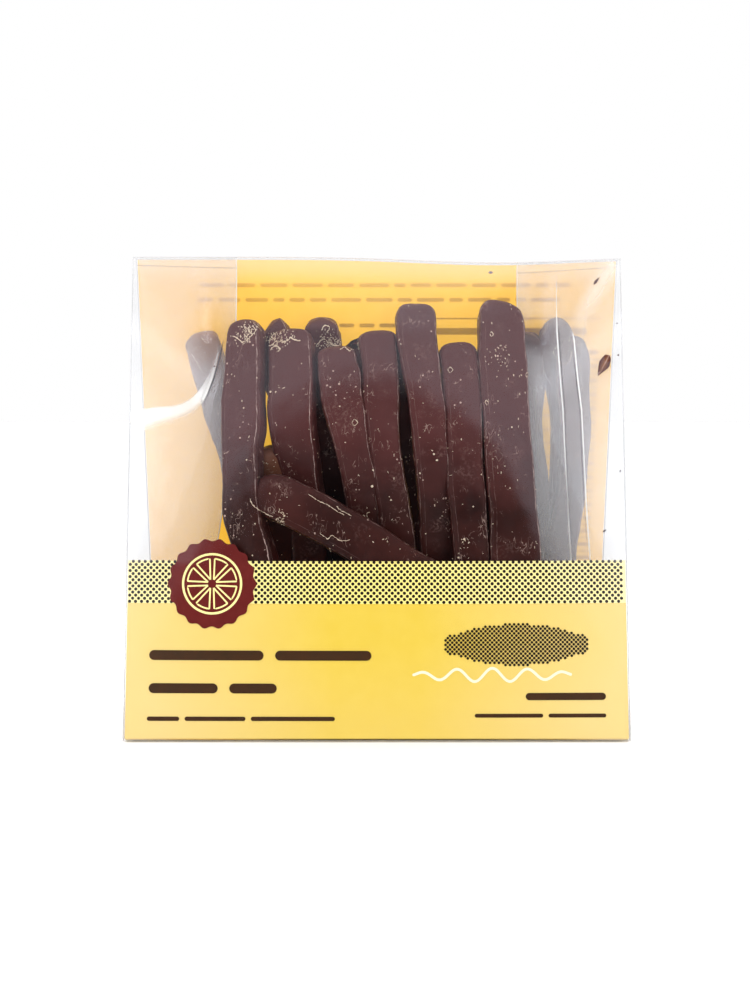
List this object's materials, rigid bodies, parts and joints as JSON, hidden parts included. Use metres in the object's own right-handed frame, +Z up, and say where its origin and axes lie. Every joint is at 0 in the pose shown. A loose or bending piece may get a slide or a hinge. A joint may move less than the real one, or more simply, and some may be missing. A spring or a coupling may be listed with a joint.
{
  "type": "bag of chocolate-covered lemon peel",
  "caption": "Clear gusseted film bag that stands on its base and closes to a ridge, with yellow printed panels, filled with chocolate-covered strips of lemon peel.",
  "frame": {"origin": "middle of the flat base, on the surface that the bag stands on", "axes": "+X across the bag's width to its right as seen from the front, +Y from the printed front to the back, +Z up to the ridge"},
  "size_m": [0.114, 0.049, 0.1095],
  "materials": {
    "clear_film": "glossy clear film",
    "yellow_print": "glossy printed film",
    "brown_print": "glossy printed film",
    "chocolate": "satin dark chocolate"
  },
  "bodies": {
    "root": {"bag": "clear_film", "front_print": "yellow_print", "back_print": "yellow_print", "badge": "brown_print"}
  },
  "joints": []
}
